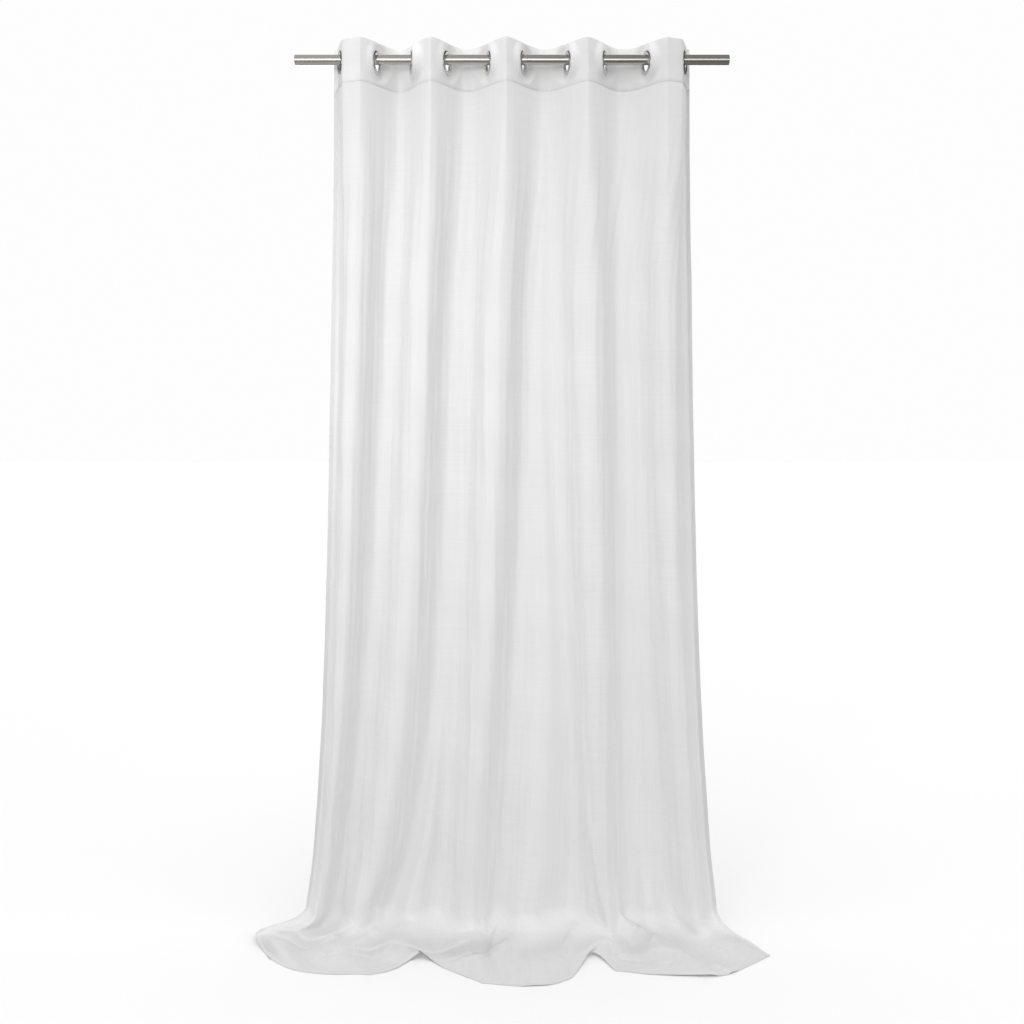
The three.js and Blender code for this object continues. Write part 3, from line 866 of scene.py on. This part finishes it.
# Soft creases in the hanging cloth: how far each stands forward, its half width, and its line as (height, x).
CREASES = [
    {"out": 0.0100, "half": 0.011, "line": ((-0.9, -0.184), (-1.31, -0.200), (-1.58, -0.221), (-1.82, -0.252),
                                            (-1.95, -0.285), (-2.065, -0.322))},
    {"out": 0.0065, "half": 0.010, "line": ((-1.75, -0.182), (-1.89, -0.196), (-1.99, -0.226),
                                            (-2.08, -0.262))},
    {"out": 0.0090, "half": 0.010, "line": ((-0.9, 0.006), (-1.38, -0.012), (-1.73, -0.024), (-1.90, -0.041),
                                            (-2.02, -0.054), (-2.08, -0.066))},
    {"out": 0.0050, "half": 0.010, "line": ((-1.65, 0.128), (-1.89, 0.118), (-1.99, 0.100), (-2.08, 0.080))},
    {"out": 0.0120, "half": 0.009, "line": ((-1.35, 0.150), (-1.60, 0.165), (-1.84, 0.181), (-1.99, 0.205),
                                            (-2.09, 0.232))},
    {"out": 0.0050, "half": 0.009, "line": ((-1.75, 0.222), (-1.99, 0.229), (-2.08, 0.238))},
    {"out": 0.0030, "half": 0.014, "line": ((-0.7, 0.230), (-1.1, 0.233), (-1.55, 0.236))},
    {"out": 0.0040, "half": 0.012, "line": ((-1.2, 0.335), (-1.6, 0.356), (-1.90, 0.384), (-2.03, 0.410))},
    {"out": 0.0030, "half": 0.014, "line": ((-0.5, -0.330), (-1.2, -0.348), (-1.8, -0.375), (-2.0, -0.400))},
    {"out": 0.0030, "half": 0.013, "line": ((-0.4, -0.145), (-0.9, -0.172), (-1.4, -0.196), (-1.7, -0.232))},
    {"out": 0.0025, "half": 0.014, "line": ((-0.35, 0.040), (-0.9, 0.030), (-1.5, 0.014), (-1.9, 0.004))},
    {"out": 0.0025, "half": 0.014, "line": ((-0.6, 0.400), (-1.2, 0.418), (-1.8, 0.455))},
]

# Ridges in the lying cloth: how wide each is in front, which is to the right as its line runs, and behind,
# how far its crest leans to the room, how deep the trough at its foot is, and its line as (x, y, height).
RIDGES = [
    {"front": 0.008, "behind": 0.042, "lean": 0.020, "dip": 0.010,
     "line": ((-0.408, -0.124, 0.004), (-0.365, -0.110, 0.010), (-0.318, -0.106, 0.016),
              (-0.273, -0.110, 0.019), (-0.236, -0.116, 0.012), (-0.199, -0.118, 0.008),
              (-0.165, -0.124, 0.012), (-0.131, -0.126, 0.020), (-0.099, -0.116, 0.024),
              (-0.078, -0.096, 0.024), (-0.061, -0.066, 0.018), (-0.052, -0.042, 0.006))},
    {"front": 0.010, "behind": 0.036, "lean": 0.014, "dip": 0.008,
     "line": ((-0.590, -0.020, 0.004), (-0.545, -0.050, 0.012), (-0.485, -0.060, 0.017),
              (-0.430, -0.050, 0.010))},
    {"front": 0.030, "behind": 0.030, "lean": 0, "dip": 0,
     "line": ((-0.600, -0.030, 0.008), (-0.560, -0.010, 0.014), (-0.520, 0.000, 0.010))},
    {"front": 0.022, "behind": 0.016, "lean": 0, "dip": 0.003,
     "line": ((0.150, -0.017, 0.012), (0.114, -0.113, 0.018), (0.064, -0.172, 0.014),
              (0.031, -0.214, 0.005))},
    {"front": 0.016, "behind": 0.024, "lean": 0, "dip": 0.003,
     "line": ((0.018, -0.030, 0.014), (-0.012, -0.080, 0.016), (-0.030, -0.100, 0.012))},
    {"front": 0.020, "behind": 0.014, "lean": 0, "dip": 0,
     "line": ((-0.038, -0.088, 0.008), (0.004, -0.150, 0.011), (0.036, -0.206, 0.004))},
    {"front": 0.016, "behind": 0.014, "lean": 0.006, "dip": 0.004,
     "line": ((0.268, -0.015, 0.030), (0.299, -0.030, 0.036), (0.327, -0.089, 0.034), (0.355, -0.125, 0.026),
              (0.394, -0.149, 0.016), (0.448, -0.208, 0.004))},
    {"front": 0.006, "behind": 0.030, "lean": 0.008, "dip": 0.010,
     "line": ((0.255, -0.122, 0.004), (0.295, -0.134, 0.016), (0.340, -0.146, 0.014),
              (0.375, -0.156, 0.004))},
    {"front": 0.020, "behind": 0.020, "lean": 0, "dip": 0,
     "line": ((-0.330, -0.030, 0.014), (-0.352, -0.070, 0.012), (-0.378, -0.100, 0.005))},
    {"front": 0.018, "behind": 0.018, "lean": 0, "dip": 0,
     "line": ((-0.250, -0.030, 0.016), (-0.268, -0.070, 0.012), (-0.290, -0.095, 0.005))},
    {"front": 0.010, "behind": 0.022, "lean": 0, "dip": 0.003,
     "line": ((0.440, -0.140, 0.004), (0.470, -0.172, 0.009), (0.500, -0.200, 0.004))},
]
DIP_PLACE = 1.7
RIDGE_SHARPNESS = 1.5
RIDGE_REACH = 1.5
CREASE_SHARPNESS = 1.5

# Slow ripples over the hanging cloth: their height, their width across and down, and where they start.
RIPPLES = [
    {"height": 0.0008, "across": 0.047, "down": 0.9, "start": 0.3},
    {"height": 0.0006, "across": 0.031, "down": -1.3, "start": 2.1},
    {"height": 0.0006, "across": 0.083, "down": 0.55, "start": 4.0},
    {"height": 0.0004, "across": 0.019, "down": 2.1, "start": 5.2},
    {"height": 0.0008, "across": 0.61, "down": 0.21, "start": 1.0},
]
RIPPLE_FADE = 0.30

HEADING_FADE = 0.520
FOLD_HANDLE_TOP = 0.66
FOLD_HANDLE_BOTTOM = 0.46
DEEPEST_FOLD = 0.090
LANDING_DROP = 0.150
FLOOR_GAP = 0.0008
RIDGE_CEILING = 0.085
CREASE_FADE = 0.12
PANEL_STEPS = {"bend": 14, "flat": 8, "turn": 12, "valley": 3}
HANGING_ROWS = 140
LANDING_ROWS = 34
HEM_ROWS = 30
VOILE_WHITE = (0.80, 0.80, 0.80)
VOILE_OPEN = 0.22
VOILE_SLUBS = 0.055


def curve_through(places, values, i, at):
    """A value between the places i and i + 1, on one smooth curve through the values at all the places."""

    def slope(k):
        a, b = max(0, k - 1), min(len(places) - 1, k + 1)
        return (values[b] - values[a]) / (places[b] - places[a])

    stretch = places[i + 1] - places[i]
    t = np.clip((at - places[i]) / stretch, 0, 1)
    bulge = stretch * t * (1 - t) * ((1 - t) * slope(i) - t * slope(i + 1))
    return mix(values[i], values[i + 1], smooth(t)) + bulge


def at_height(values, z):
    """A value given at the levels, at any height between them."""
    i = 0
    while i < len(LEVELS) - 2 and z < LEVELS[i + 1]:
        i += 1
    return curve_through(LEVELS, values, i, z)


def depth_share(name, z):
    side = FOLDS[name][0]
    if side == "small":
        return at_height(SMALL_FOLD_DEPTH[name], z)
    return -1 if side == "front" else 1


def fold_section(z):
    """The folds below the heading, seen from above at one height, as deep as the cloth's width makes them."""
    handle = mix(FOLD_HANDLE_TOP, FOLD_HANDLE_BOTTOM, smooth(z / LEVELS[-1]))
    lines = [(at_height(FOLDS[name][1:], z), depth_share(name, z)) for name in FOLD_NAMES]
    flat = [np.array([lines[0]])]
    for span in SPANS:
        start, end = np.array(lines[span["left"]]), np.array(lines[span["right"]])
        reach = np.array([(end[0] - start[0]) * handle, 0])
        flat.append(bezier(start, start + reach, end - reach, end, columns_in(span, PANEL_STEPS)))
    flat = np.concatenate(flat)
    depth = solve(0, DEEPEST_FOLD, CUT_WIDTH, lambda deep: length_of(flat * (1, deep)))
    return flat * (1, depth)


def lying_row(at_hem):
    """The lying cloth halfway to the hem or at the hem, a point for every column."""
    places = np.array([LYING[name][3:] if at_hem else LYING[name][:3] for name in FOLD_NAMES])
    across, away, high = places.T
    row = [places[:1]]
    for span in SPANS:
        left, right = span["left"], span["right"]
        t = columns_in(span, PANEL_STEPS)
        x = mix(across[left], across[right], t)
        y = curve_through(across, away, left, x)
        row.append(np.stack([x, y, mix(high[left], high[right], smooth(t))], axis=1))
    return np.concatenate(row) + (0, 0, floor_level)


def hermite(p, q, p_direction, q_direction, t):
    return mix(p, q, smooth(t)) + p_direction * t * (1 - t) ** 2 - q_direction * t * t * (1 - t)


def normals_of(grid):
    """The directions that a sheet faces, towards the room."""
    normal = np.cross(np.gradient(grid, axis=0), np.gradient(grid, axis=1))
    return normal / np.maximum(np.linalg.norm(normal, axis=2, keepdims=True), 1e-12)


def along_line(points, line):
    """How far right of a line on the floor each point is, seen along it, and the line's height there."""
    best = np.full(points.shape[:2], np.inf)
    signed = np.zeros(points.shape[:2])
    height = np.zeros(points.shape[:2])
    line = np.array(line)
    for start, end in zip(line, line[1:]):
        run = end[:2] - start[:2]
        t = np.clip(((points[:, :, :2] - start[:2]) @ run) / (run @ run), 0, 1)
        offset = points[:, :, :2] - start[:2] - t[:, :, None] * run
        distance = np.linalg.norm(offset, axis=2)
        side = np.sign(offset[:, :, 0] * run[1] - offset[:, :, 1] * run[0])
        nearer = distance < best
        best = np.where(nearer, distance, best)
        signed = np.where(nearer, distance * side, signed)
        height = np.where(nearer, mix(start[2], end[2], t), height)
    return signed, height


panel_line = heading_section(wave_wall, PANEL_STEPS)
panel_top = BAND_BOTTOM + SEAM_ALLOWANCE
rows = [np.hstack([panel_line, np.full((len(panel_line), 1), panel_top)])]
for z in np.linspace(BAND_BOTTOM, LEVELS[-1], HANGING_ROWS):
    eased = smooth((BAND_BOTTOM - z) / HEADING_FADE)
    section = mix(panel_line, fold_section(z), eased)
    rows.append(np.hstack([section, np.full((len(section), 1), z)]))
foot_row, halfway_row, hem_row = rows[-1], lying_row(False), lying_row(True)
downward = np.array([0, 0, -LANDING_DROP])
onward = (hem_row - foot_row) * (0.5, 0.5, 0)
ending = (hem_row - halfway_row) * (1, 1, 0)
for t in np.arange(1, LANDING_ROWS + 1) / LANDING_ROWS:
    rows.append(hermite(foot_row, halfway_row, downward, onward, t))
for t in np.arange(1, HEM_ROWS + 1) / HEM_ROWS:
    rows.append(hermite(halfway_row, hem_row, onward, ending, t))
panel = np.array(rows)

# Creases and ripples bend the hanging cloth, and ridges lift the lying cloth.
threads = thread_lengths(panel)
facing = normals_of(panel)
height_above_floor = panel[:, :, 2] - floor_level
shift = np.zeros_like(panel)
for crease in CREASES:
    line_z, line_x = np.array(crease["line"][::-1]).T
    z = panel[:, :, 2]
    away = (panel[:, :, 0] - np.interp(z, line_z, line_x)) / crease["half"]
    shown = smooth((z - line_z[0]) / CREASE_FADE + 1) * smooth((line_z[-1] - z) / CREASE_FADE + 1)
    shift[:, :, 1] -= crease["out"] * shown * np.exp(-abs(away) ** CREASE_SHARPNESS)
for ripple in RIPPLES:
    wave = threads[:, :, 0] / ripple["across"] + threads[:, :, 1] / ripple["down"]
    fade = smooth((BAND_BOTTOM - panel[:, :, 2]) / RIPPLE_FADE) * smooth(height_above_floor / CREASE_FADE)
    shift += facing * (ripple["height"] * fade * np.sin(2 * math.pi * wave + ripple["start"]))[:, :, None]
for ridge in RIDGES:
    distance, height = along_line(panel, ridge["line"])
    width = np.where(distance > 0, ridge["front"], ridge["behind"])
    lying = smooth(RIDGE_REACH - height_above_floor / RIDGE_CEILING)
    swell = lying * np.exp(-abs(distance / width) ** RIDGE_SHARPNESS)
    foot = lying * (distance > 0) * np.exp(-(distance / width - DIP_PLACE) ** 2)
    share = height / max(place[2] for place in ridge["line"])
    shift[:, :, 1] -= ridge["lean"] * share * swell
    shift[:, :, 2] += height * swell - ridge["dip"] * share * foot
panel += shift
panel[:, :, 2] = np.maximum(panel[:, :, 2], floor_level + FLOOR_GAP)

SIDE_HEM = 0.011
END_HEM = 0.013
HEM_LAYER_GAP = 0.0004
HEM_STEPS = 3


def turned_under(grid, width):
    """A sheet with its last row folded under as a hem, in rows that run back beneath it."""
    under = normals_of(grid) * -HEM_LAYER_GAP
    outward = grid[-1] - grid[-2]
    outward /= np.linalg.norm(outward, axis=1, keepdims=True)
    back = np.linalg.norm(np.diff(grid[::-1], axis=0), axis=2).cumsum(axis=0)
    back = np.vstack([np.zeros(back.shape[1]), back])
    lower = (grid + under)[::-1]
    rows = [grid[-1] + outward * HEM_LAYER_GAP / 2 + under[-1] / 2]
    for reach in np.linspace(0, width, HEM_STEPS + 1):
        rows.append(np.array([
            [np.interp(reach, back[:, column], lower[:, column, axis]) for axis in range(3)]
            for column in range(grid.shape[1])
        ]))
    return np.concatenate([grid, rows])


hemmed = turned_under(panel, END_HEM)
hemmed = turned_under(hemmed.transpose(1, 0, 2), SIDE_HEM)
hemmed = turned_under(hemmed[::-1], SIDE_HEM)[::-1].transpose(1, 0, 2)
hemmed[:, :, 2] = np.maximum(hemmed[:, :, 2], floor_level + FLOOR_GAP - HEM_LAYER_GAP)
white_voile = woven_voile("white_voile", VOILE_WHITE, VOILE_OPEN, VOILE_SLUBS)
voile_sheet = add_cloth("voile_sheet", hemmed, white_voile)
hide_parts("voile_panel")

# The stitching. White thread in straight machine stitches. Two rows hold the panel in the heading, and one
# row each holds the turned-under hems at the sides and along the end.

STITCH_PITCH = 0.0036
STITCH_LENGTH = 0.0027
THREAD_RADIUS = 0.00022
THREAD_SIDES = 6
LIFT_SHARE = 0.6
SIDE_LIFT = 0.0002
SEAM_ROWS = (0.0025, 0.0075)
HEM_ROW_PLACE = 0.8
ROWS_IN_HEADING = 2
THREAD_WHITE = (0.86, 0.86, 0.85)


def offset_line(grid, position, lift):
    """The points of one row of a grid, at any position between its rows, lifted off the cloth."""
    below = int(position)
    share = position - below
    line = mix(grid[below], grid[min(below + 1, len(grid) - 1)], share)
    return line + normals_of(grid)[below] * lift


def row_at_length(grid, distance):
    """The position, counted in rows from the last one back, that lies a distance from a sheet's end."""
    back = np.linalg.norm(np.diff(grid[::-1], axis=0), axis=2).mean(axis=1).cumsum()
    return len(grid) - 1 - np.interp(distance, np.append(0, back), np.arange(len(back) + 1))


thread_lift = THREAD_RADIUS * LIFT_SHARE
seams = [
    offset_line(sewn_band, row_at_length(sewn_band, distance), BAND_THICKNESS / 2 + thread_lift)
    for distance in SEAM_ROWS
]
seams.append(offset_line(panel, row_at_length(panel, END_HEM * HEM_ROW_PLACE), thread_lift))
for sideways in (panel.transpose(1, 0, 2), panel.transpose(1, 0, 2)[::-1]):
    hem_line = offset_line(sideways, row_at_length(sideways, SIDE_HEM * HEM_ROW_PLACE), 0)
    seams.append(hem_line[ROWS_IN_HEADING:] + (0, -thread_lift - SIDE_LIFT, thread_lift))

stitch_tree = new_tree(
    "machine stitches",
    Pitch="NodeSocketFloat",
    Length="NodeSocketFloat",
    Radius="NodeSocketFloat",
    Thread="NodeSocketMaterial",
)
given = stitch_tree.nodes.new("NodeGroupInput")
path = tree_node(stitch_tree, "GeometryNodeMeshToCurve", Mesh=given.outputs["Geometry"])
spaced = stitch_tree.nodes.new("GeometryNodeResampleCurve")
spaced.mode = "LENGTH"
stitch_tree.links.new(path.outputs[0], spaced.inputs["Curve"])
stitch_tree.links.new(given.outputs["Pitch"], spaced.inputs["Length"])
heading_for = stitch_tree.nodes.new("GeometryNodeInputTangent")
aim = stitch_tree.nodes.new("FunctionNodeAlignEulerToVector")
aim.axis = "Z"
stitch_tree.links.new(heading_for.outputs[0], aim.inputs["Vector"])
capsule = stitch_tree.nodes.new("GeometryNodeMeshUVSphere")
capsule.inputs["Segments"].default_value = THREAD_SIDES
capsule.inputs["Rings"].default_value = 4
capsule.inputs["Radius"].default_value = 1.0
half = stitch_tree.nodes.new("ShaderNodeMath")
half.operation = "DIVIDE"
half.inputs[1].default_value = 2.0
stitch_tree.links.new(given.outputs["Length"], half.inputs[0])
size = stitch_tree.nodes.new("ShaderNodeCombineXYZ")
for socket, source in zip(size.inputs, (given.outputs["Radius"], given.outputs["Radius"], half.outputs[0])):
    stitch_tree.links.new(source, socket)
placed = tree_node(
    stitch_tree,
    "GeometryNodeInstanceOnPoints",
    Points=spaced.outputs[0],
    Instance=capsule.outputs["Mesh"],
    Rotation=aim.outputs[0],
    Scale=size.outputs[0],
)
real = tree_node(stitch_tree, "GeometryNodeRealizeInstances", Geometry=placed.outputs[0])
sewn = tree_node(
    stitch_tree, "GeometryNodeSetMaterial", Geometry=real.outputs[0], Material=given.outputs["Thread"]
)
stitch_tree.links.new(sewn.outputs[0], stitch_tree.nodes.new("NodeGroupOutput").inputs[0])

sewing_thread = new_material("white_thread")
thread_finish = sewing_thread.node_tree.nodes["Principled BSDF"]
thread_finish.inputs["Base Color"].default_value = (*THREAD_WHITE, 1)
thread_finish.inputs["Roughness"].default_value = 0.6
thread_finish.inputs["Sheen Weight"].default_value = 0.2
twist = add_node(sewing_thread, "ShaderNodeTexNoise")
twist.inputs["Scale"].default_value = 2500
twist_place = add_node(sewing_thread, "ShaderNodeTexCoord")
join(sewing_thread, twist_place.outputs["Object"], twist.inputs["Vector"])
twist_relief = add_node(sewing_thread, "ShaderNodeBump")
twist_relief.inputs["Strength"].default_value = 0.5
twist_relief.inputs["Distance"].default_value = 0.0001
join(sewing_thread, twist.outputs["Fac"], twist_relief.inputs["Height"])
join(sewing_thread, twist_relief.outputs[0], thread_finish.inputs["Normal"])

seam_points = np.vstack(seams)
stitching = add_piece("stitching", seam_points, [], sewing_thread)
seam_edges = []
start = 0
for seam in seams:
    seam_edges += [(start + i, start + i + 1) for i in range(len(seam) - 1)]
    start += len(seam)
stitching.data.clear_geometry()
stitching.data.from_pydata(seam_points.tolist(), seam_edges, [])
grow(
    stitching,
    stitch_tree,
    Pitch=STITCH_PITCH,
    Length=STITCH_LENGTH,
    Radius=THREAD_RADIUS,
    Thread=sewing_thread,
)
